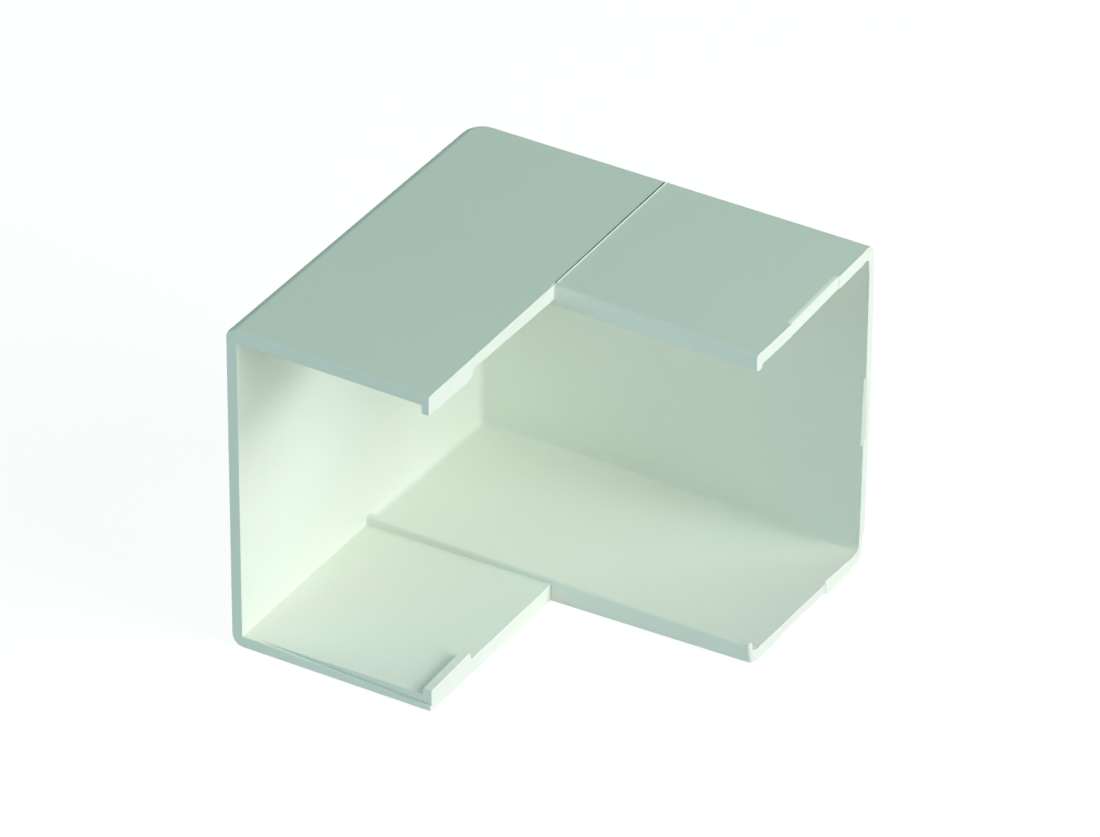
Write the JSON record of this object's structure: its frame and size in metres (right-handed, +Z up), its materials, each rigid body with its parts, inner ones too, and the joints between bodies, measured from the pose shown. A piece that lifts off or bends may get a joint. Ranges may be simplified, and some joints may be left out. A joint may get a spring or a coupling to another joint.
{
  "type": "trunking external corner",
  "caption": "External corner for small rectangular cable trunking: channel-shaped legs at a right angle, open towards the wall, with lips inside their free edges",
  "frame": {"origin": "under the middle of the fitting's bounding box, on the surface it stands on", "axes": "+Z up the height of the fitting; from the outer corner the left leg runs towards -Y and the right leg towards +X, and the wall's corner lies at +X -Y of the rib and lips"},
  "size_m": [0.054, 0.0538, 0.0436],
  "materials": {
    "plastic": "satin"
  },
  "bodies": {
    "root": {"corner_fitting": "plastic"}
  },
  "joints": []
}
